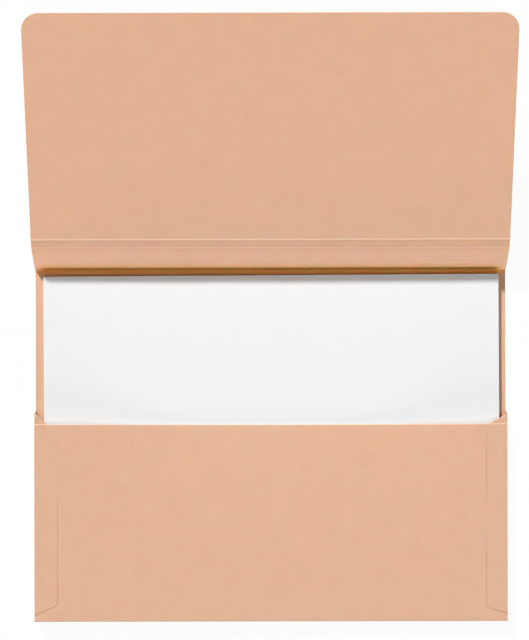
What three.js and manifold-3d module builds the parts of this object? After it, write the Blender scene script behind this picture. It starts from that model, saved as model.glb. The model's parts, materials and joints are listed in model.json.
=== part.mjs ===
// A document wallet: one card blank, scored, folded and glued into a shallow pocket with side and
// bottom gussets, a spine of narrow strips that bends at its scores, a long flap with rounded
// corners, and the loose sheets that the pocket holds.
// Millimetres. +Z is up from the table, +Y runs from the pocket towards the flap, and the origin is
// the middle of the back panel's underside.

import * as THREE from 'three';
import { mergeVertices } from 'three/addons/utils/BufferGeometryUtils.js';
import Module from 'manifold-3d';

const wasm = await Module();
wasm.setup();

// The card blank
const card = 0.45; // thickness
const foldRadius = 0.8; // outer radius of a folded edge
const foldSeam = 0.05; // gap where a panel meets the rolled edge of its fold

// The sheets, landscape in the pocket
const sheetWidth = 297;
const sheetHeight = 210;
const sheetThickness = 0.1;
const sheetGap = 0.02; // air between two sheets
const sheetCount = 40;
const sheetLift = 0.05; // air under the lowest sheet
const sheetShift = 0.5; // the stack lies this much right of the middle
const sheetTurn = 0.25; // degrees that the stack lies turned
const sheetJog = 0.25; // how far single sheets stray from the stack
const sheetStray = 2.4; // radians between the strays of neighbouring sheets

// Room that the wallet leaves round the stack
const sideRoom = 5.05;
const bottomRoom = 14.85;
const topRoom = 3.7;
const freeDepth = 4.7; // over the stack, under the glue tabs

// Front panel and side gussets, measured up from the bottom edge
const frontHeight = 128.6;
const gussetStart = 5; // lower end of the side gussets
const gussetStartSlant = 1; // it starts this much lower at the back panel
const gussetOverFront = 6.7; // upper end, past the front panel's edge
const gussetEndSlant = 1.6; // it ends this much higher at the back panel

// Glue tabs, folded in from the side gussets and stuck under the front panel
const tabWidth = 15;
const tabLowTaper = 6.6;
const tabHighTaper = 9.2;
const tabCorner = 2;
const glueThickness = 0.1;
const glueMargin = 1.5; // bare edge round the glue
const glueSlack = 0.01; // keeps the film off the two faces that it joins

// Spine, from the back panel's top edge to the flap
const stripElevations = [68, 62, 58, 55, 50, 31]; // degrees above the table, as it lies open
const risingStrips = 2; // strips that stand up over the pocket's depth when it is shut
const flapRoom = 0.6; // height that these strips leave over the front panel
const beadRadius = 0.35; // rolled bead on each score
const beadGap = 0.15; // between a bead and the strip that turns round it
const arcSteps = 10; // facets on a bead, a fold or a rounded corner

// Flap
const flapElevation = 21; // degrees above the table, as it lies open
const flapLength = 147.4; // from the last score to the free edge
const flapCorner = 11;

// Worked out from the sizes above
const halfCard = card / 2;
const socketRadius = beadRadius + beadGap;
const stackHeight = sheetCount * (sheetThickness + sheetGap);
const bodyWidth = sheetWidth + 2 * (sideRoom + card);
const bodyHeight = sheetHeight + bottomRoom + topRoom + card;
const tabTop = card + sheetLift + stackHeight + freeDepth + card;
const pocketDepth = tabTop + glueThickness + card;
const stripLength = (pocketDepth + flapRoom) / risingStrips;
const halfWidth = bodyWidth / 2;
const bottomEdge = -bodyHeight / 2;
const topFold = bodyHeight / 2;
const frontEdge = bottomEdge + frontHeight;
const gussetLow = bottomEdge + gussetStart;
const gussetHigh = frontEdge + gussetOverFront;

// Colours of the photographed card and paper
const cardColour = 0xe4b597;
const paperColour = 0xf2f4f5;
const glueColour = 0xe9dfc9;

const cardMaterial = () => new THREE.MeshStandardMaterial({ color: cardColour, roughness: 0.8, metalness: 0 });
const paperMaterial = () => new THREE.MeshStandardMaterial({ color: paperColour, roughness: 0.85, metalness: 0 });
const glueMaterial = () => new THREE.MeshStandardMaterial({ color: glueColour, roughness: 0.4, metalness: 0 });

// Section planes: sections are drawn flat, run out along one axis and turned to stand in the wallet.
const acrossX = new THREE.Matrix4().makeBasis(
  new THREE.Vector3(0, 1, 0),
  new THREE.Vector3(0, 0, 1),
  new THREE.Vector3(1, 0, 0),
);
const alongY = new THREE.Matrix4().makeBasis(
  new THREE.Vector3(1, 0, 0),
  new THREE.Vector3(0, 0, 1),
  new THREE.Vector3(0, -1, 0),
);

function extrude(shape, depth) {
  return new THREE.ExtrudeGeometry(shape, { depth, bevelEnabled: false, curveSegments: arcSteps });
}

// A section in Y and Z, run from x0 to x1.
function sweepAcross(shape, x0, x1) {
  return extrude(shape, x1 - x0).applyMatrix4(acrossX).translate(x0, 0, 0);
}

// A section in X and Z, run from y0 to y1.
function sweepAlong(shape, y0, y1) {
  return extrude(shape, y1 - y0).applyMatrix4(alongY).translate(0, y1, 0);
}

// An outline in X and Y, raised from z0 to z1.
function plate(shape, z0, z1) {
  return extrude(shape, z1 - z0).translate(0, 0, z0);
}

function toSolid(geometry) {
  const bare = geometry.clone();
  bare.deleteAttribute('normal');
  bare.deleteAttribute('uv');
  const merged = mergeVertices(bare);
  return new wasm.Manifold(
    new wasm.Mesh({
      numProp: 3,
      vertProperties: Float32Array.from(merged.attributes.position.array),
      triVerts: Uint32Array.from(merged.index.array),
    }),
  );
}

// What two closed shapes have in common.
function common(first, second) {
  const mesh = toSolid(first).intersect(toSolid(second)).getMesh();
  const geometry = new THREE.BufferGeometry();
  geometry.setAttribute('position', new THREE.BufferAttribute(mesh.vertProperties, 3));
  geometry.setIndex(new THREE.BufferAttribute(mesh.triVerts, 1));
  geometry.computeVertexNormals();
  return geometry;
}

// The same shape on the other side of the wallet's middle, with its faces still pointing out.
function mirrored(geometry) {
  const twin = geometry.index ? geometry.clone() : mergeVertices(geometry);
  twin.scale(-1, 1, 1);
  const corners = twin.index.array;
  for (let i = 0; i < corners.length; i += 3) {
    [corners[i], corners[i + 1]] = [corners[i + 1], corners[i]];
  }
  twin.computeVertexNormals();
  return twin;
}

// A closed outline through corners given as [x, y, radius].
function roundedOutline(corners) {
  const shape = new THREE.Shape();
  corners.forEach(([x, y, radius], i) => {
    const corner = new THREE.Vector2(x, y);
    const before = new THREE.Vector2(...corners.at(i - 1)).sub(corner).normalize();
    const after = new THREE.Vector2(...corners[(i + 1) % corners.length]).sub(corner).normalize();
    if (radius === 0) {
      if (i === 0) shape.moveTo(x, y);
      else shape.lineTo(x, y);
      return;
    }
    const halfAngle = Math.acos(THREE.MathUtils.clamp(before.dot(after), -1, 1)) / 2;
    const middle = before.clone().add(after).normalize();
    const centre = corner.clone().addScaledVector(middle, radius / Math.sin(halfAngle));
    const start = corner.clone().addScaledVector(before, radius / Math.tan(halfAngle)).sub(centre);
    const end = corner.clone().addScaledVector(after, radius / Math.tan(halfAngle)).sub(centre);
    const clockwise = before.cross(after) > 0;
    shape.absarc(centre.x, centre.y, radius, start.angle(), end.angle(), clockwise);
  });
  shape.closePath();
  return shape;
}

// Section of a scored panel, from the score behind it at 0 to the score in front at its length.
// Its near end is hollowed to turn round a bead, and its far end carries the next bead.
function scoredSection(length, near, far) {
  const section = new THREE.Shape();
  const socketTurn = Math.asin(halfCard / socketRadius);
  const beadTurn = Math.PI - Math.asin(halfCard / beadRadius);
  if (near) {
    section.absarc(0, 0, socketRadius, socketTurn, -socketTurn, true);
  } else {
    section.moveTo(0, halfCard);
    section.lineTo(0, -halfCard);
  }
  if (far) {
    section.absarc(length, 0, beadRadius, -beadTurn, beadTurn, false);
  } else {
    section.lineTo(length, -halfCard);
    section.lineTo(length, halfCard);
  }
  section.closePath();
  return section;
}

// Section of a gusset: a wall with a rolled fold at its foot and at its head, outer face at 0.
function gussetSection(height) {
  const section = new THREE.Shape();
  const inner = foldRadius - card;
  const head = height - foldRadius;
  const quarter = Math.PI / 2;
  section.moveTo(foldRadius, 0);
  section.absarc(foldRadius, foldRadius, foldRadius, -quarter, -2 * quarter, true);
  section.absarc(foldRadius, head, foldRadius, 2 * quarter, quarter, true);
  section.absarc(foldRadius, head, inner, quarter, 2 * quarter, false);
  section.absarc(foldRadius, foldRadius, inner, 2 * quarter, 3 * quarter, false);
  section.closePath();
  return section;
}

function part(name, geometry, material) {
  const mesh = new THREE.Mesh(geometry, material);
  mesh.name = name;
  return mesh;
}

// The back panel steps in beside the side gussets, where the folds take its edges, and ends in the
// bead of the first score.
function backPanelGeometry() {
  const gussetFoot = gussetLow - gussetStartSlant;
  const gussetTip = gussetHigh + gussetEndSlant;
  const low = bottomEdge + foldRadius + foldSeam;
  const inset = halfWidth - foldRadius - foldSeam;
  const past = topFold + socketRadius;
  const rightSide = [
    [halfWidth, low, 0],
    [halfWidth, gussetFoot - foldSeam, 0],
    [inset, gussetFoot - foldSeam, 0],
    [inset, gussetTip + foldSeam, 0],
    [halfWidth, gussetTip + foldSeam, 0],
    [halfWidth, past, 0],
  ];
  const leftSide = rightSide.map(([x, y, radius]) => [-x, y, radius]).reverse();
  const outline = plate(roundedOutline([...rightSide, ...leftSide]), -card, 2 * card);
  const section = scoredSection(bodyHeight, false, true);
  return common(sweepAcross(section, -halfWidth, halfWidth).translate(0, bottomEdge, halfCard), outline);
}

function bottomGussetGeometry() {
  return sweepAcross(gussetSection(pocketDepth), -halfWidth, halfWidth).translate(0, bottomEdge, 0);
}

function frontPanelGeometry() {
  const low = bottomEdge + foldRadius + foldSeam;
  const outline = roundedOutline([
    [-halfWidth, low, 0],
    [halfWidth, low, 0],
    [halfWidth, frontEdge, 0],
    [-halfWidth, frontEdge, 0],
  ]);
  return plate(outline, pocketDepth - card, pocketDepth);
}

// A side gusset, left of the middle: the rolled wall, cut to its slanted ends.
function sideGussetGeometry() {
  const low = gussetLow - gussetStartSlant;
  const high = gussetHigh + gussetEndSlant;
  const wall = sweepAlong(gussetSection(tabTop), low, high).translate(-halfWidth, 0, 0);
  const ends = roundedOutline([
    [low, 0, 0],
    [high, 0, 0],
    [gussetHigh, tabTop, 0],
    [gussetLow, tabTop, 0],
  ]);
  return common(wall, sweepAcross(ends, -halfWidth - card, -halfWidth + 2 * foldRadius));
}

// Outline of a glue tab left of the middle, drawn in by an inset, with both ends tapered.
function tabOutline(inset) {
  const fold = -halfWidth + foldRadius + foldSeam + inset;
  const edge = -halfWidth + tabWidth - inset;
  const lowSlope = tabLowTaper / tabWidth;
  const highSlope = -tabHighTaper / tabWidth;
  const low = (x) => gussetLow + lowSlope * (x + halfWidth) + inset * Math.hypot(1, lowSlope);
  const high = (x) => gussetHigh + highSlope * (x + halfWidth) - inset * Math.hypot(1, highSlope);
  return roundedOutline([
    [fold, low(fold), 0],
    [edge, low(edge), tabCorner],
    [edge, high(edge), tabCorner],
    [fold, high(fold), 0],
  ]);
}

function glueTabGeometry() {
  return plate(tabOutline(0), tabTop - card, tabTop);
}

// The glue film covers the tab as far as the front panel does.
function glueLineGeometry() {
  const film = plate(tabOutline(glueMargin), tabTop + glueSlack, pocketDepth - card - glueSlack);
  const covered = roundedOutline([
    [-halfWidth, bottomEdge, 0],
    [0, bottomEdge, 0],
    [0, frontEdge - glueMargin, 0],
    [-halfWidth, frontEdge - glueMargin, 0],
  ]);
  return common(film, plate(covered, tabTop - card, pocketDepth + card));
}

function spineStripGeometry() {
  return sweepAcross(scoredSection(stripLength, true, true), -halfWidth, halfWidth);
}

function flapGeometry() {
  const outline = roundedOutline([
    [-halfWidth, 0, 0],
    [halfWidth, 0, 0],
    [halfWidth, flapLength, flapCorner],
    [-halfWidth, flapLength, flapCorner],
  ]);
  const board = sweepAcross(scoredSection(flapLength, true, false), -halfWidth, halfWidth);
  return common(board, plate(outline, -card, card));
}

function addSides(wallet, name, geometry, material) {
  wallet.add(part(`left_${name}`, geometry, material()));
  wallet.add(part(`right_${name}`, mirrored(geometry), material()));
}

function addPocket(wallet) {
  wallet.add(part('back_panel', backPanelGeometry(), cardMaterial()));
  wallet.add(part('bottom_gusset', bottomGussetGeometry(), cardMaterial()));
  wallet.add(part('front_panel', frontPanelGeometry(), cardMaterial()));
  addSides(wallet, 'side_gusset', sideGussetGeometry(), cardMaterial);
  addSides(wallet, 'glue_tab', glueTabGeometry(), cardMaterial);
  addSides(wallet, 'glue_line', glueLineGeometry(), glueMaterial);
}

// Each strip hangs on the score of the strip before it, and the flap hangs on the last one.
function addSpineAndFlap(wallet) {
  let carrier = wallet;
  let carrierElevation = 0;
  const scorePlace = new THREE.Vector3(0, topFold, halfCard);
  const hang = (mesh, elevation) => {
    const score = new THREE.Group();
    score.position.copy(scorePlace);
    score.rotation.x = THREE.MathUtils.degToRad(elevation - carrierElevation);
    score.add(mesh);
    carrier.add(score);
    carrier = score;
    carrierElevation = elevation;
    scorePlace.set(0, stripLength, 0);
  };
  stripElevations.forEach((elevation, i) => {
    hang(part(`spine_strip_${i + 1}`, spineStripGeometry(), cardMaterial()), elevation);
  });
  hang(part('flap', flapGeometry(), cardMaterial()), flapElevation);
}

// The stack lies near the top fold, a little turned, and no two sheets lie quite alike.
function addSheets(wallet) {
  const stack = new THREE.Group();
  stack.position.set(sheetShift, topFold - topRoom - sheetHeight / 2, card + sheetLift);
  stack.rotation.z = THREE.MathUtils.degToRad(sheetTurn);
  for (let i = 0; i < sheetCount; i += 1) {
    const geometry = new THREE.BoxGeometry(sheetWidth, sheetHeight, sheetThickness);
    const sheet = part(`sheet_${String(i + 1).padStart(2, '0')}`, geometry, paperMaterial());
    sheet.position.x = sheetJog * Math.sin(i * sheetStray);
    sheet.position.y = sheetJog * Math.cos(i * sheetStray);
    sheet.position.z = sheetThickness / 2 + i * (sheetThickness + sheetGap);
    stack.add(sheet);
  }
  wallet.add(stack);
}

const wallet = new THREE.Group();
addPocket(wallet);
addSpineAndFlap(wallet);
addSheets(wallet);

export default wallet;
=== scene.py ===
import json
import math

import bmesh
import bpy
from mathutils import Matrix, Vector


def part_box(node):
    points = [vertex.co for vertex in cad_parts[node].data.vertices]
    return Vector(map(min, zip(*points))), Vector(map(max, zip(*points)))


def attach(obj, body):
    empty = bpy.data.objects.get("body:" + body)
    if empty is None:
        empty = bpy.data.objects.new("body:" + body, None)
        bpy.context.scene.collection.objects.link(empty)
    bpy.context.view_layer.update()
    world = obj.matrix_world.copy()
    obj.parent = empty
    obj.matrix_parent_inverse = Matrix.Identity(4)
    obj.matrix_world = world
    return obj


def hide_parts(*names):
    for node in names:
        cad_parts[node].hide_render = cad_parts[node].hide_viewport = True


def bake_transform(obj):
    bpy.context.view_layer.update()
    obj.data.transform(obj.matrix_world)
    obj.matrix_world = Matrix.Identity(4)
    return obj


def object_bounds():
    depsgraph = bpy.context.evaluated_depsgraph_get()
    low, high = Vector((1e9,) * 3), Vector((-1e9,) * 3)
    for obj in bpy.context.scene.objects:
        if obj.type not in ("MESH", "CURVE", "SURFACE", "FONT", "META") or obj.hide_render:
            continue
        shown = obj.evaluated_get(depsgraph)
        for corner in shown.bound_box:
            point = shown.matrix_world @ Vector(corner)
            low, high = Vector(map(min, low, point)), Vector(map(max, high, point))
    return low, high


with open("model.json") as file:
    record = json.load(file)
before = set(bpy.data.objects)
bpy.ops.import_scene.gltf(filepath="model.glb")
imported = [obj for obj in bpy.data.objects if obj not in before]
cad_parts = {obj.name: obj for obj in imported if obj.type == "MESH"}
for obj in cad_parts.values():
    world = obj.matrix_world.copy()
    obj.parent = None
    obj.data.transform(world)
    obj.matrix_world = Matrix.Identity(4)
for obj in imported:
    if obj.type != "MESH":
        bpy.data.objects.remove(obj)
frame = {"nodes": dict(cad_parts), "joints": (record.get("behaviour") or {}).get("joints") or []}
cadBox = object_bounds()
mm = 0.001
touching = 1e-6  # metres, places closer than this are one

# The wallet lies on its back and is seen from straight above, the flap at the top.
camera = {
    "place": (-3.9, 81.7, 1312.0),  # mm
    "roll": -0.12,  # degrees, so that the wallet looks a little turned
    "lens": 112.5,  # mm
    "sensorHeight": 36.0,  # mm
}

studio = {
    "keyFrom": (-0.3, 0.72, 0.609),  # behind the flap, from the left
    "keyLevel": 0.67,  # share of the light on a level surface
    "keySpread": 5.0,  # degrees across
    "frontFrom": (0.12, -0.93, 0.04),  # level with the table, from the pocket's side onto the flap
    "frontLevel": 0.036,
    "frontSpread": 28.0,
    "fillFrom": (0.03, -0.24, 0.97),  # nearly overhead, down into the spine's fold
    "fillLevel": 0.21,
    "fillSpread": 24.0,
    "skyLevel": 0.05,
    "floorSize": 6.0,  # metres across
    "floorColour": (0.95, 0.95, 0.95, 1.0),
    "floorGlow": 0.95,  # share of the floor that shows plain white
    "floorDrop": 0.05 * mm,  # below the lowest face, so that the two never share a place
}

cardFinish = {
    "colour": (227, 184, 155),
    "dark": (224, 180, 151),
    "light": (230, 188, 159),
    "innerBrightenedDark": (229, 186, 155),  # inside the flap, painted lighter to make up for the light that the flap's tilt loses
    "innerBrightenedLight": (234, 193, 162),
    "spineBrightenedDark": (236, 186, 155),  # inside the spine, painted lighter where its steep strips get less light
    "spineBrightenedLight": (241, 193, 162),
    # edge: painted highlight on the cut edges
    "edge": (250, 228, 212),
    "line": (188, 132, 94),  # painted shade in a pressed line
    "foldBounceTone": (255, 182, 88),  # painted warm bounce light low in the spine's fold
    "crestHighlight": (252, 232, 208),  # painted highlight on a scored ridge and on the mouth's cut edge
    "mottle": 90,  # clouds to a metre
    "mottleDetail": 6,
    "fibre": 2600,  # fibres to a metre
    "fibreDetail": 3,
    "fibreStretch": (1.0, 0.35, 1.0),
    "fibreShare": 0.5,  # of the fibres' pattern over the clouds'
    "roughness": 0.82,
    "specular": 0.2,
    "bump": 0.18,
    "bumpHeight": 0.05 * mm,
    "glowThrough": 0.5,  # share of the light that goes into the card
    "glowReach": 0.6 * mm,
    "glowRadius": (1.0, 0.35, 0.12),  # shares of the reach for red, green and blue
}

paperFinish = {
    "colour": (242, 244, 245),
    "dark": (239, 241, 242),
    "fibre": 3200,
    "fibreDetail": 3,
    "fibreStretch": (0.4, 1.0, 1.0),
    "roughness": 0.88,
    "specular": 0.2,
    "bump": 0.12,
    "bumpHeight": 0.02 * mm,
}

glueFinish = {
    "colour": (233, 223, 201),
    "dark": (224, 212, 186),
    "fibre": 900,  # streaks to a metre
    "fibreDetail": 2,
    "fibreStretch": (1.0, 0.2, 1.0),
    "roughness": 0.45,
    "specular": 0.4,
    "bump": 0.3,
    "bumpHeight": 0.05 * mm,
}


def linear(colour):
    channels = [c / 255 for c in colour]
    return [c / 12.92 if c <= 0.04045 else ((c + 0.055) / 1.055) ** 2.4 for c in channels] + [1.0]


def newMaterial(name, finish):
    material = bpy.data.materials.new(name)
    material.use_nodes = True
    shader = material.node_tree.nodes["Principled BSDF"]
    shader.inputs["Roughness"].default_value = finish["roughness"]
    shader.inputs["Specular IOR Level"].default_value = finish["specular"]
    coordinates = material.node_tree.nodes.new("ShaderNodeTexCoord")
    return material, material.node_tree, shader, coordinates


def noiseOn(tree, coordinates, scale, detail, stretch=(1, 1, 1)):
    mapping = tree.nodes.new("ShaderNodeMapping")
    mapping.inputs["Scale"].default_value = stretch
    texture = tree.nodes.new("ShaderNodeTexNoise")
    texture.inputs["Scale"].default_value = scale
    texture.inputs["Detail"].default_value = detail
    tree.links.new(coordinates.outputs["Object"], mapping.inputs["Vector"])
    tree.links.new(mapping.outputs["Vector"], texture.inputs["Vector"])
    return texture


def fibresOn(tree, coordinates, finish):
    return noiseOn(tree, coordinates, finish["fibre"], finish["fibreDetail"], finish["fibreStretch"])


def rampBetween(tree, texture, low, high, positions=(0.3, 0.7)):
    ramp = tree.nodes.new("ShaderNodeValToRGB")
    for stop, place, colour in zip(ramp.color_ramp.elements, positions, (low, high)):
        stop.position = place
        stop.color = linear(colour)
    tree.links.new(texture.outputs["Fac"], ramp.inputs["Fac"])
    return ramp.outputs["Color"]


def addBump(tree, shader, texture, finish):
    bump = tree.nodes.new("ShaderNodeBump")
    bump.inputs["Strength"].default_value = finish["bump"]
    bump.inputs["Distance"].default_value = finish["bumpHeight"]
    tree.links.new(texture.outputs["Fac"], bump.inputs["Height"])
    tree.links.new(bump.outputs["Normal"], shader.inputs["Normal"])


# Lays a colour over another where a mesh's attribute says so.
def colourWhere(tree, attributeName, colour, under):
    attribute = tree.nodes.new("ShaderNodeAttribute")
    attribute.attribute_name = attributeName
    mix = tree.nodes.new("ShaderNodeMix")
    mix.data_type = "RGBA"
    mix.inputs["B"].default_value = linear(colour)
    tree.links.new(attribute.outputs["Fac"], mix.inputs["Factor"])
    tree.links.new(under, mix.inputs["A"])
    return mix.outputs["Result"]


# Uncoated manila: soft cloudy patches with fine fibres over them.
def cardMaterial(name, dark, light):
    material, tree, shader, coordinates = newMaterial(name, cardFinish)
    clouds = noiseOn(tree, coordinates, cardFinish["mottle"], cardFinish["mottleDetail"])
    fibres = fibresOn(tree, coordinates, cardFinish)
    blend = tree.nodes.new("ShaderNodeMix")
    blend.data_type = "RGBA"
    blend.inputs["Factor"].default_value = cardFinish["fibreShare"]
    tree.links.new(rampBetween(tree, clouds, dark, light), blend.inputs["A"])
    tree.links.new(rampBetween(tree, fibres, dark, light), blend.inputs["B"])
    tone = blend.outputs["Result"]
    # Painted shade in the pressed lines.
    tone = colourWhere(tree, "pressedLineShade", cardFinish["line"], tone)
    # Painted warm bounce light low in the spine's fold.
    tone = colourWhere(tree, "foldBounceLight", cardFinish["foldBounceTone"], tone)
    # Painted highlight on scored crests and the mouth's cut edge.
    tone = colourWhere(tree, "paintedHighlight", cardFinish["crestHighlight"], tone)
    tree.links.new(tone, shader.inputs["Base Color"])
    shader.inputs["Subsurface Weight"].default_value = cardFinish["glowThrough"]
    shader.inputs["Subsurface Radius"].default_value = cardFinish["glowRadius"]
    shader.inputs["Subsurface Scale"].default_value = cardFinish["glowReach"]
    addBump(tree, shader, fibres, cardFinish)
    return material


# Plain fibres or streaks of one tone, for the paper and the glue.
def plainMaterial(name, finish):
    material, tree, shader, coordinates = newMaterial(name, finish)
    fibres = fibresOn(tree, coordinates, finish)
    tone = rampBetween(tree, fibres, finish["dark"], finish["colour"])
    tree.links.new(tone, shader.inputs["Base Color"])
    addBump(tree, shader, fibres, finish)
    return material


manila = cardMaterial("manilaCard", cardFinish["dark"], cardFinish["light"])
# Lighter copies of the card, painted light inside the flap and the spine.
manilaInnerBrightened = cardMaterial("manilaInnerBrightened", cardFinish["innerBrightenedDark"], cardFinish["innerBrightenedLight"])
manilaSpineBrightened = cardMaterial("manilaSpineBrightened", cardFinish["spineBrightenedDark"], cardFinish["spineBrightenedLight"])
# Cut edges: a lighter copy of the card, a painted highlight.
manilaEdgeHighlight = cardMaterial("manilaCutEdgeHighlight", cardFinish["colour"], cardFinish["edge"])
officePaper = plainMaterial("officePaper", paperFinish)
driedGlue = plainMaterial("driedGlue", glueFinish)
print("finishes made")

# Places that the pieces share
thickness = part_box("front_panel")[1].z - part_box("front_panel")[0].z
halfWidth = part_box("bottom_gusset")[1].x
scores = [Vector(joint["pos_m"]) for joint in frame["joints"] if joint["name"].startswith("score_")]
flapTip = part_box("flap")[1]
flapTilt = math.atan2(flapTip.z - scores[-1].z - thickness / 2, flapTip.y - scores[-1].y)
foldSeam = 0.05 * mm  # the solids' gap between a panel and a rolled fold

cutEdge = {
    "bevel": 0.2 * mm,
    "segments": 3,
    "flat": 0.98,  # a face is square to an axis where its normal's share along it is above this
}


# Edges that turn by more than sharpAngle degrees, or between two finishes, stay crisp.
def keepPiece(name, bm, materials, sharpAngle=40):
    bmesh.ops.recalc_face_normals(bm, faces=bm.faces)
    for face in bm.faces:
        face.smooth = True
    for edge in bm.edges:
        level = edge.calc_face_angle(math.pi) < math.radians(sharpAngle)
        edge.smooth = level and len({face.material_index for face in edge.link_faces}) == 1
    mesh = bpy.data.meshes.new(name)
    bm.to_mesh(mesh)
    bm.free()
    for material in materials:
        mesh.materials.append(material)
    piece = bpy.data.objects.new(name, mesh)
    bpy.context.scene.collection.objects.link(piece)
    return piece


def extrudeFace(bm, face, along):
    grown = bmesh.ops.extrude_face_region(bm, geom=[face])
    moved = [v for v in grown["geom"] if isinstance(v, bmesh.types.BMVert)]
    bmesh.ops.translate(bm, verts=moved, vec=along)


# Raises a flat outline to a board, standing on z.
def raiseBoard(corners, z, height):
    bm = bmesh.new()
    sheet = bm.faces.new([bm.verts.new((x, y, z)) for x, y in corners])
    extrudeFace(bm, sheet, (0, 0, height))
    bmesh.ops.recalc_face_normals(bm, faces=bm.faces)
    return bm


def softenEdges(bm, edges, size, segments):
    bmesh.ops.bevel(
        bm,
        geom=edges,
        offset=size,
        affect="EDGES",
        segments=segments,
        profile=0.5,
        material=-1,
    )


def roundCorners(bm, places, radius, segments=12):
    def isCorner(edge):
        low, high = (v.co for v in edge.verts)
        upright = (low - high).xy.length < touching
        return upright and any((low.xy - Vector(p)).length < touching for p in places)

    softenEdges(bm, [e for e in bm.edges if isCorner(e)], radius, segments)


# Softens the rims of a board, apart from those that a test leaves crisp, and marks its cut faces.
def cutRims(bm, keepCrisp):
    rims = []
    for edge in bm.edges:
        faces = edge.link_faces
        flat = [abs(f.normal.z) > cutEdge["flat"] for f in faces]
        if len(faces) == 2 and flat[0] != flat[1] and not keepCrisp(edge):
            rims.append(edge)
    softenEdges(bm, rims, cutEdge["bevel"], cutEdge["segments"])
    for face in bm.faces:
        face.material_index = 0 if abs(face.normal.z) > cutEdge["flat"] else 1


def cutAcross(bm, point, normal):
    everything = bm.verts[:] + bm.edges[:] + bm.faces[:]
    bmesh.ops.bisect_plane(bm, geom=everything, dist=1e-8, plane_co=point, plane_no=normal)


# The spine: one short piece of card for each score, from the middle of the strip before it to the
# middle of the strip after it, bent at the score.
crease = {
    "bend": 0.7 * mm,  # length of card either side of a score that turns
    "shaped": 2.4 * mm,  # the profile's points are close together this far out
    "step": 0.1 * mm,
    "ridge": 0.2 * mm,  # raised on the inner face by the scoring rule
    "ridgeShare": (0, 0.2, 0.2, 0.3, 0.5, 0.7, 1.0),  # from the pocket to the flap
    # painted highlight on each crest, from the pocket to the flap
    "highlightShare": (0, 0, 0, 0.05, 0.12, 0.25, 0.7),
    "ridgeBefore": 1.1 * mm,  # towards the pocket from the line on which the card turns
    "ridgeWidth": 0.42 * mm,
    "groove": 0.06 * mm,  # shallow furrow on each side of the ridge
    "grooveOut": 1.05 * mm,
    "grooveWidth": 0.32 * mm,
    "dent": 0.14 * mm,  # pressed in on the outer face
    "hold": 1.3 * mm,  # the bend in a pose would run this far either side of the score
    "deepShare": 0.95,  # of the painted warm bounce light at the foot of the fold
    "deepBelow": 12.0 * mm,  # it fades out up to this height
    "deepBefore": 6.0 * mm,  # and into the back panel over this length
    "deepEnd": 6.0 * mm,  # and this close to the sides
    "deepLeft": 0.25,  # where this share of it is left
    "panelReach": 4.0 * mm,  # of the first piece into the back panel
    "flapReach": 4.0 * mm,  # and of the last one into the flap
}


def eased(t):
    t = min(max(t, 0.0), 1.0)
    return t * t * (3 - 2 * t)


def hill(s, width):
    return math.exp(-((s / width) ** 2))


def heading(angle):
    return Vector((0, math.cos(angle), math.sin(angle)))


def slope(near, far):
    return math.atan2(far.z - near.z, far.y - near.y)


def crestAt(s):
    return hill(s + crease["ridgeBefore"], crease["ridgeWidth"])


def ridgeAt(s, share):
    furrow = hill(abs(s + crease["ridgeBefore"]) - crease["grooveOut"], crease["grooveWidth"])
    return share * (crease["ridge"] * crestAt(s) - crease["groove"] * furrow)


def dentAt(s):
    return crease["dent"] * hill(s, crease["ridgeWidth"])


# Share of painted warm bounce light on the inner face, which grows down into the fold behind the
# pocket.
def foldBounceLightAt(place):
    low = 1 - eased(place.z / crease["deepBelow"])
    return crease["deepShare"] * low * eased((place.y - scores[0].y) / crease["deepBefore"] + 1)


# Headings of the card before and after a score, and how far its piece reaches either way.
def creaseEnds(index):
    score = scores[index]
    before, reachBefore = 0.0, crease["panelReach"]
    after, reachAfter = flapTilt, crease["flapReach"]
    if index > 0:
        before = slope(scores[index - 1], score)
        reachBefore = (score - scores[index - 1]).length / 2
    if index < len(scores) - 1:
        after = slope(score, scores[index + 1])
        reachAfter = (scores[index + 1] - score).length / 2
    return before, after, reachBefore, reachAfter


# Centre line of the card round a score: its distance along the card, place and heading.
def creaseLine(index):
    before, after, reachBefore, reachAfter = creaseEnds(index)
    bend, step = crease["bend"], crease["step"]
    turn = after - before

    def angleAt(s):
        return before + turn * eased((s + bend) / (2 * bend))

    def walk(places):
        points = [Vector((0, 0, 0))]
        for near, far in zip(places, places[1:]):
            points.append(points[-1] + heading(angleAt((near + far) / 2)) * (far - near))
        return points

    # The bend starts and ends this far from the score, so that both headings still meet there.
    turning = [-bend + i * step for i in range(round(2 * bend / step) + 1)]
    tangent = walk(turning)[-1].length / (2 * math.cos(turn / 2))
    start = -(reachBefore - tangent + bend)
    end = reachAfter - tangent + bend
    count = round(2 * crease["shaped"] / step)
    places = [start] + [-crease["shaped"] + i * step for i in range(count + 1)] + [end]
    origin = scores[index] - heading(before) * reachBefore
    return [(s, origin + p, angleAt(s)) for s, p in zip(places, walk(places))]


# The card's two faces in profile, and how much painted highlight the inner one gets along it.
def creaseProfile(index):
    inner, outer, highlighted = [], [], []
    for s, place, angle in creaseLine(index):
        out = heading(angle + math.pi / 2)
        inner.append(place + out * (thickness / 2 + ridgeAt(s, crease["ridgeShare"][index])))
        outer.append(place - out * (thickness / 2 - dentAt(s)))
        highlighted.append(crestAt(s) * crease["highlightShare"][index])
    return inner, outer, highlighted


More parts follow.
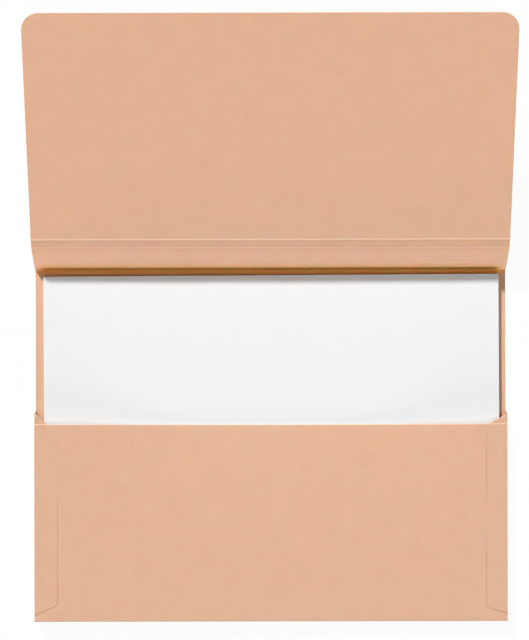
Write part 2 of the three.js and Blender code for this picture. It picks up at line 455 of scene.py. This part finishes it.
# Sweeps a score's profile from side to side, with its painted bounce light and painted highlight as
# attributes.
def sweepCrease(index):
    inner, outer, highlighted = creaseProfile(index)
    bm = bmesh.new()
    foldBounceLight = bm.verts.layers.float.new("foldBounceLight")
    paintedHighlight = bm.verts.layers.float.new("paintedHighlight")
    rim = [bm.verts.new((-halfWidth, p.y, p.z)) for p in inner + outer[::-1]]
    for vert, share in zip(rim, highlighted):
        vert[foldBounceLight] = foldBounceLightAt(vert.co)
        vert[paintedHighlight] = share
    extrudeFace(bm, bm.faces.new(rim), (2 * halfWidth, 0, 0))
    for side in (-1, 1):
        cutAcross(bm, (side * (halfWidth - crease["deepEnd"]), 0, 0), (1, 0, 0))
    for vert in bm.verts:
        inside = min(1.0, (halfWidth - abs(vert.co.x)) / crease["deepEnd"])
        vert[foldBounceLight] *= crease["deepLeft"] + (1 - crease["deepLeft"]) * inside
    bmesh.ops.recalc_face_normals(bm, faces=bm.faces)
    return bm


def makeCrease(index):
    bm = sweepCrease(index)
    finishes = [manila, manilaEdgeHighlight, manilaSpineBrightened, manilaInnerBrightened]
    for face in bm.faces:
        if abs(face.normal.x) > cutEdge["flat"]:
            face.material_index = finishes.index(manilaEdgeHighlight)
        elif index > 0 and face.normal.z > 0:
            onSpine = face.calc_center_median().y < scores[-1].y
            face.material_index = finishes.index(manilaSpineBrightened if onSpine else manilaInnerBrightened)
    piece = keepPiece(f"score_crease_{index + 1}", bm, finishes)
    strips = [f"spine_strip_{i}" for i in (index, index + 1) if 1 <= i < len(scores)]
    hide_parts(*strips)
    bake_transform(piece)


for scoreIndex in range(len(scores)):
    makeCrease(scoreIndex)
print("spine made")

flap = {
    "corner": 11 * mm,
    "trim": 1.0 * mm,  # shorter than the CAD's by this much
}


def makeFlap():
    reach = (flapTip.y - scores[-1].y - thickness / 2 * math.sin(flapTilt)) / math.cos(flapTilt)
    reach -= flap["trim"]
    near = crease["flapReach"]
    corners = [(-halfWidth, near), (halfWidth, near), (halfWidth, reach), (-halfWidth, reach)]
    bm = raiseBoard(corners, -thickness / 2, thickness)
    roundCorners(bm, corners[2:], flap["corner"])
    cutRims(bm, lambda edge: all(abs(v.co.y - near) < touching for v in edge.verts))
    finishes = [manila, manilaEdgeHighlight, manilaInnerBrightened]
    for face in bm.faces:
        if face.normal.z > cutEdge["flat"]:
            face.material_index = finishes.index(manilaInnerBrightened)
    place = Matrix.Translation(scores[-1]) @ Matrix.Rotation(flapTilt, 4, "X")
    bmesh.ops.transform(bm, matrix=place, verts=bm.verts)
    piece = keepPiece("flap_card", bm, finishes)
    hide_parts("flap")
    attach(piece, "flap")


makeFlap()
print("flap made")

pocket = {
    "tabEdge": {  # from the foot to the top, out from the middle and along, in mm, left and right
        -1: [(154, -110.4), (138.7, -103.6), (138.7, 9.8), (147.5, 15.4), (154, 22.2)],
        1: [(154, -109.3), (140.2, -105.5), (140.2, 13.5), (152.4, 19.3), (154, 21.8)],
    },
    "tabCorner": 2 * mm,
    "tabSegments": 6,
    "lineCorner": 1.4 * mm,  # the pressed line cuts the tab's lower corner by this much
    "line": 0.06 * mm,  # depth of the line that a tab's edge leaves in the front panel
    "lineWidth": 0.5 * mm,
    "lineCuts": (-1.5, -1, -0.5, 0, 0.5, 1, 1.5),  # rows of points along a line, in its widths
    "lineShadeShare": 0.5,  # how much painted shade the line has where it is clearest
    "lineFootShade": 0.4,  # more painted shade by this much where it leaves the panel
    "lineFaint": 0.1,  # what is left of it elsewhere
    "clearest": {-1: [(-118, -38)], 1: [(-118, -63), (-32, 6)]},  # mm along, left and right
    "clearEnd": 8,  # mm in which such a stretch fades
    "mouthBow": 0.7 * mm,  # the mouth's edge sags this much in the middle
    "mouthSag": 4.9 * mm,  # the card lies almost on the sheets there
    "mouthFlat": 138.7 * mm,  # out from the middle, where the sag ends
    "mouthHighlight": 0.7,  # painted highlight on the cut edge
    "mouthRim": 0.6 * mm,
    "cutEvery": 9 * mm,
}


def makeBackPanel():
    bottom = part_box("back_panel")[0].y - foldSeam
    top = scores[0].y - crease["panelReach"]
    inset = -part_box("left_glue_tab")[0].x - foldSeam  # just clear of the side gussets' folds
    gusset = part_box("left_side_gusset")
    rightSide = [
        (halfWidth, bottom),
        (halfWidth, gusset[0].y),
        (inset, gusset[0].y),
        (inset, gusset[1].y),
        (halfWidth, gusset[1].y),
        (halfWidth, top),
    ]
    corners = rightSide + [(-x, y) for x, y in reversed(rightSide)]
    bm = raiseBoard(corners, 0, thickness)

    def meetsFold(edge):
        return all(min(abs(v.co.y - top), abs(v.co.y - bottom)) < touching for v in edge.verts)

    cutRims(bm, meetsFold)
    piece = keepPiece("back_panel_card", bm, [manila, manilaEdgeHighlight])
    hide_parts("back_panel")
    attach(piece, "pocket")


def tabEdge(side):
    return [Vector((side * x, y, 0)) * mm for x, y in pocket["tabEdge"][side]]


# The edge of the tab under the front panel shows through it as a faint pressed line.
def pressedPath(side):
    foot, turn = tabEdge(side)[:2]
    before = turn + (foot - turn).normalized() * pocket["lineCorner"]
    after = turn + Vector((0, pocket["lineCorner"], 0))
    end = Vector((turn.x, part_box("front_panel")[1].y, 0))
    return [(foot, before), (before, after), (after, end)]


def distanceTo(point, start, end):
    along = end - start
    t = min(max((point - start).dot(along) / along.length_squared, 0), 1)
    return (point - start - along * t).length


# How clear a pressed line is at a place, from its clearest stretches, with soft ends.
def clearness(x, y):
    def passed(distance):
        return eased(distance / pocket["clearEnd"] + 0.5)

    share = pocket["lineFaint"]
    for start, end in pocket["clearest"][-1 if x < 0 else 1]:
        share = max(share, min(passed(y / mm - start), passed(end - y / mm)))
    return share


# Gives the front panel points to bend at: along the pressed lines, in an even grid and at the mouth.
def cutFrontPanel(bm, lines, bottom, top):
    for start, end in lines:
        across = (end - start).cross(Vector((0, 0, 1))).normalized()
        for offset in pocket["lineCuts"]:
            cutAcross(bm, start + across * pocket["lineWidth"] * offset, across)
    steps = round((top - bottom) / pocket["cutEvery"])
    for i in range(1, steps):
        cutAcross(bm, (0, bottom + (top - bottom) * i / steps, 0), (0, 1, 0))
    steps = round(2 * halfWidth / pocket["cutEvery"])
    for i in range(1, steps):
        cutAcross(bm, (-halfWidth + 2 * halfWidth * i / steps, 0, 0), (1, 0, 0))
    cutAcross(bm, (0, top - pocket["mouthRim"], 0), (0, 1, 0))


def makeFrontPanel():
    low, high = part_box("front_panel")
    bottom = low.y - foldSeam
    corners = [(-halfWidth, bottom), (halfWidth, bottom), (halfWidth, high.y), (-halfWidth, high.y)]
    bm = raiseBoard(corners, low.z, thickness)
    cutRims(bm, lambda edge: all(abs(v.co.y - bottom) < touching for v in edge.verts))
    lines = pressedPath(-1) + pressedPath(1)
    cutFrontPanel(bm, lines, bottom, high.y)
    pressedLineShade = bm.verts.layers.float.new("pressedLineShade")
    paintedHighlight = bm.verts.layers.float.new("paintedHighlight")
    for vert in bm.verts:
        flat = Vector((vert.co.x, vert.co.y, 0))
        nearest = min(distanceTo(flat, start, end) for start, end in lines)
        depth = eased(1 - nearest / pocket["lineWidth"]) * clearness(vert.co.x, vert.co.y)
        # Painted highlight along the mouth's cut edge.
        vert[paintedHighlight] = pocket["mouthHighlight"] * eased(1 - (high.y - vert.co.y) / pocket["mouthRim"])
        if vert.co.z > high.z - touching:
            out = eased((abs(vert.co.x) - pocket["mouthFlat"]) / (halfWidth - pocket["mouthFlat"]))
            vert.co.z -= pocket["line"] * depth
            # Painted shade in the pressed line, more of it near the panel's sides.
            vert[pressedLineShade] = (pocket["lineShadeShare"] + pocket["lineFootShade"] * out) * depth
        share = 1 - (vert.co.x / halfWidth) ** 2
        mouth = (vert.co.y - bottom) / (high.y - bottom)
        vert.co.y -= pocket["mouthBow"] * share * eased(mouth)
        free = max(0.0, 1 - (vert.co.x / pocket["mouthFlat"]) ** 4)
        vert.co.z -= pocket["mouthSag"] * free**2 * mouth**3
    piece = keepPiece("front_panel_card", bm, [manila, manilaEdgeHighlight])
    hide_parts("front_panel")
    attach(piece, "pocket")


def makeTab(name, side):
    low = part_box("left_glue_tab")[0]
    fold = -low.x + foldSeam  # both tabs start as far out from the middle
    foot, *inner, top = tabEdge(side)

    def atFold(near, far):
        return near + (far - near) * ((fold - abs(near.x)) / (abs(far.x) - abs(near.x)))

    edge = [atFold(inner[0], foot)] + inner + [atFold(inner[-1], top)]
    corners = [(p.x, p.y) for p in edge]
    bm = raiseBoard(corners, low.z, thickness)
    roundCorners(bm, corners[1:3], pocket["tabCorner"], pocket["tabSegments"])
    cutRims(bm, lambda edge: all(abs(abs(v.co.x) - fold) < touching for v in edge.verts))
    piece = keepPiece(f"{name}_glue_tab_card", bm, [manila, manilaEdgeHighlight])
    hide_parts(f"{name}_glue_tab")
    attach(piece, "pocket")


def finishNode(name, finish):
    materials = frame["nodes"][name].data.materials
    materials.clear()
    materials.append(finish)


makeBackPanel()
makeFrontPanel()
makeTab("left", -1)
makeTab("right", 1)
for gussetName in ("bottom_gusset", "left_side_gusset", "right_side_gusset"):
    finishNode(gussetName, manila)
for glueName in ("left_glue_line", "right_glue_line"):
    finishNode(glueName, driedGlue)
print("pocket made")

sheets = {
    "cutsAcross": 22,
    "cutsAlong": 15,
    "fan": 0.5 * mm,  # the sheets lie up to this far to the right and towards the pocket
    "fanTurn": 2.4,  # radians from sheet to sheet
    "curl": 0.5 * mm,  # rise of the top sheet at its free corners
    "ripple": 0.1 * mm,
    "rippleLength": 90 * mm,
    "rippleLean": 3,  # radians that the ripple shifts from the foot to the top
}


# Each sheet lies a little less flat than the one under it.
def makeSheet(number, count):
    node = frame["nodes"][f"sheet_{number:02d}"]
    low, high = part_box(node.name)
    bm = bmesh.new()
    bm.from_mesh(node.data)
    bmesh.ops.remove_doubles(bm, verts=bm.verts, dist=1e-7)
    bmesh.ops.dissolve_limit(bm, angle_limit=0.01, verts=bm.verts, edges=bm.edges)
    for i in range(1, sheets["cutsAcross"]):
        cutAcross(bm, (low.x + (high.x - low.x) * i / sheets["cutsAcross"], 0, 0), (1, 0, 0))
    for i in range(1, sheets["cutsAlong"]):
        cutAcross(bm, (0, low.y + (high.y - low.y) * i / sheets["cutsAlong"], 0), (0, 1, 0))
    middle = (low + high) / 2
    share = (number / count) ** 2
    right = sheets["fan"] * (1 + math.sin(sheets["fanTurn"] * number)) / 2
    back = sheets["fan"] * (1 + math.cos(sheets["fanTurn"] * number)) / 2
    for vert in bm.verts:
        x = abs(vert.co.x - middle.x) / ((high.x - low.x) / 2)
        y = (vert.co.y - low.y) / (high.y - low.y)
        phase = 2 * math.pi * vert.co.x / sheets["rippleLength"] + sheets["rippleLean"] * y
        wave = (1 + math.sin(phase)) / 2
        vert.co.z += share * (sheets["curl"] * x**4 * y**6 + sheets["ripple"] * wave * y**3)
        vert.co.x += right
        vert.co.y -= back
    piece = keepPiece(f"paper_sheet_{number:02d}", bm, [officePaper])
    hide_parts(node.name)
    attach(piece, "sheets")


sheetCount = sum(name.startswith("sheet_") for name in frame["nodes"])
for sheetNumber in range(1, sheetCount + 1):
    makeSheet(sheetNumber, sheetCount)
print("sheets made")


def addLamp(name, direction, level, spread):
    direction = Vector(direction)
    data = bpy.data.lights.new(name, "SUN")
    data.energy = math.pi * level / direction.normalized().z
    data.angle = math.radians(spread)
    lamp = bpy.data.objects.new(name, data)
    lamp.rotation_mode = "QUATERNION"
    lamp.rotation_quaternion = direction.to_track_quat("Z", "Y")
    bpy.context.scene.collection.objects.link(lamp)


# Share of plain white on a ray: 1 on camera, glossy and transmission rays, and 0 on the diffuse
# rays, so that the white background doesn't light the wallet.
def whiteToCamera(tree):
    path = tree.nodes.new("ShaderNodeLightPath")
    total = tree.nodes.new("ShaderNodeMath")
    total.operation = "ADD"
    seen = tree.nodes.new("ShaderNodeMath")
    seen.operation = "ADD"
    seen.use_clamp = True
    tree.links.new(path.outputs["Is Camera Ray"], total.inputs[0])
    tree.links.new(path.outputs["Is Glossy Ray"], total.inputs[1])
    tree.links.new(total.outputs[0], seen.inputs[0])
    tree.links.new(path.outputs["Is Transmission Ray"], seen.inputs[1])
    return seen.outputs[0]


def mixShaders(tree, share, first, second, end):
    mix = tree.nodes.new("ShaderNodeMixShader")
    tree.links.new(share, mix.inputs[0])
    tree.links.new(first.outputs[0], mix.inputs[1])
    tree.links.new(second.outputs[0], mix.inputs[2])
    tree.links.new(mix.outputs[0], tree.nodes[end].inputs["Surface"])


def makeWorld():
    world = bpy.data.worlds.new("studioSky")
    world.use_nodes = True
    bpy.context.scene.world = world
    tree = world.node_tree
    sky = tree.nodes["Background"]
    sky.inputs["Color"].default_value = (1, 1, 1, 1)
    sky.inputs["Strength"].default_value = studio["skyLevel"]
    white = tree.nodes.new("ShaderNodeBackground")
    white.inputs["Color"].default_value = (1, 1, 1, 1)
    white.inputs["Strength"].default_value = 1.0
    mixShaders(tree, whiteToCamera(tree), sky, white, "World Output")


def tableMaterial():
    material = bpy.data.materials.new("whiteTable")
    material.use_nodes = True
    tree = material.node_tree
    tree.nodes.remove(tree.nodes["Principled BSDF"])
    matt = tree.nodes.new("ShaderNodeBsdfDiffuse")
    matt.inputs["Color"].default_value = studio["floorColour"]
    glow = tree.nodes.new("ShaderNodeEmission")
    share = tree.nodes.new("ShaderNodeMath")
    share.operation = "MULTIPLY"
    share.inputs[1].default_value = studio["floorGlow"]
    tree.links.new(whiteToCamera(tree), share.inputs[0])
    mixShaders(tree, share.outputs[0], matt, glow, "Material Output")
    return material


def makeFloor():
    bm = bmesh.new()
    bmesh.ops.create_grid(
        bm,
        x_segments=1,
        y_segments=1,
        size=studio["floorSize"] / 2,
        matrix=Matrix.Translation((0, 0, cadBox[0].z - studio["floorDrop"])),
    )
    mesh = bpy.data.meshes.new("floor")
    bm.to_mesh(mesh)
    bm.free()
    mesh.materials.append(tableMaterial())
    floor = bpy.data.objects.new("floor", mesh)
    bpy.context.scene.collection.objects.link(floor)


def makeCamera():
    data = bpy.data.cameras.new("overhead")
    data.lens = camera["lens"]
    data.sensor_fit = "VERTICAL"
    data.sensor_height = camera["sensorHeight"]
    view = bpy.data.objects.new("overhead", data)
    view.location = Vector(camera["place"]) * mm
    view.rotation_euler = (0, 0, math.radians(camera["roll"]))
    bpy.context.scene.collection.objects.link(view)
    bpy.context.scene.camera = view


addLamp("keyLamp", studio["keyFrom"], studio["keyLevel"], studio["keySpread"])
addLamp("frontLamp", studio["frontFrom"], studio["frontLevel"], studio["frontSpread"])
addLamp("fillLamp", studio["fillFrom"], studio["fillLevel"], studio["fillSpread"])
makeWorld()
makeFloor()
makeCamera()
bpy.context.scene.view_settings.view_transform = "Standard"
print("stage and camera made")
